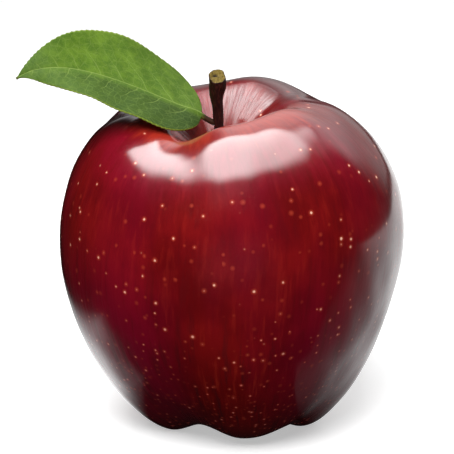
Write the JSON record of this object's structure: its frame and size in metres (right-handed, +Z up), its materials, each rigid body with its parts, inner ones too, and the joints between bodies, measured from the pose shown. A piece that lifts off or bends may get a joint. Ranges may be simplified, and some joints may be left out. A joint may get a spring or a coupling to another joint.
{
  "type": "apple",
  "caption": "Glossy dark red dessert apple, five-lobed underneath, with its stalk, one green leaf and the dried calyx in the hollow it stands round.",
  "frame": {"origin": "on the surface the apple rests on, under the middle of the box round the whole object, leaf included", "axes": "+Z up along the fruit's axis, -Y is the front, and the leaf reaches out to -X"},
  "size_m": [0.0854, 0.0764, 0.0912],
  "materials": {
    "skin": "very glossy natural wax bloom, polished, over dark red skin with pale dots",
    "stalk_bark": "dark brown dry bark, with a pale cut end",
    "leaf_green": "satin fresh green leaf with paler veins",
    "dried_calyx": "dull dry brown, slightly woolly"
  },
  "bodies": {
    "root": {"fruit": "skin", "stalk": "stalk_bark", "leaf": "leaf_green", "sepal_1": "dried_calyx", "sepal_2": "dried_calyx", "sepal_3": "dried_calyx", "sepal_4": "dried_calyx", "sepal_5": "dried_calyx", "style_tuft": "dried_calyx"}
  },
  "joints": []
}
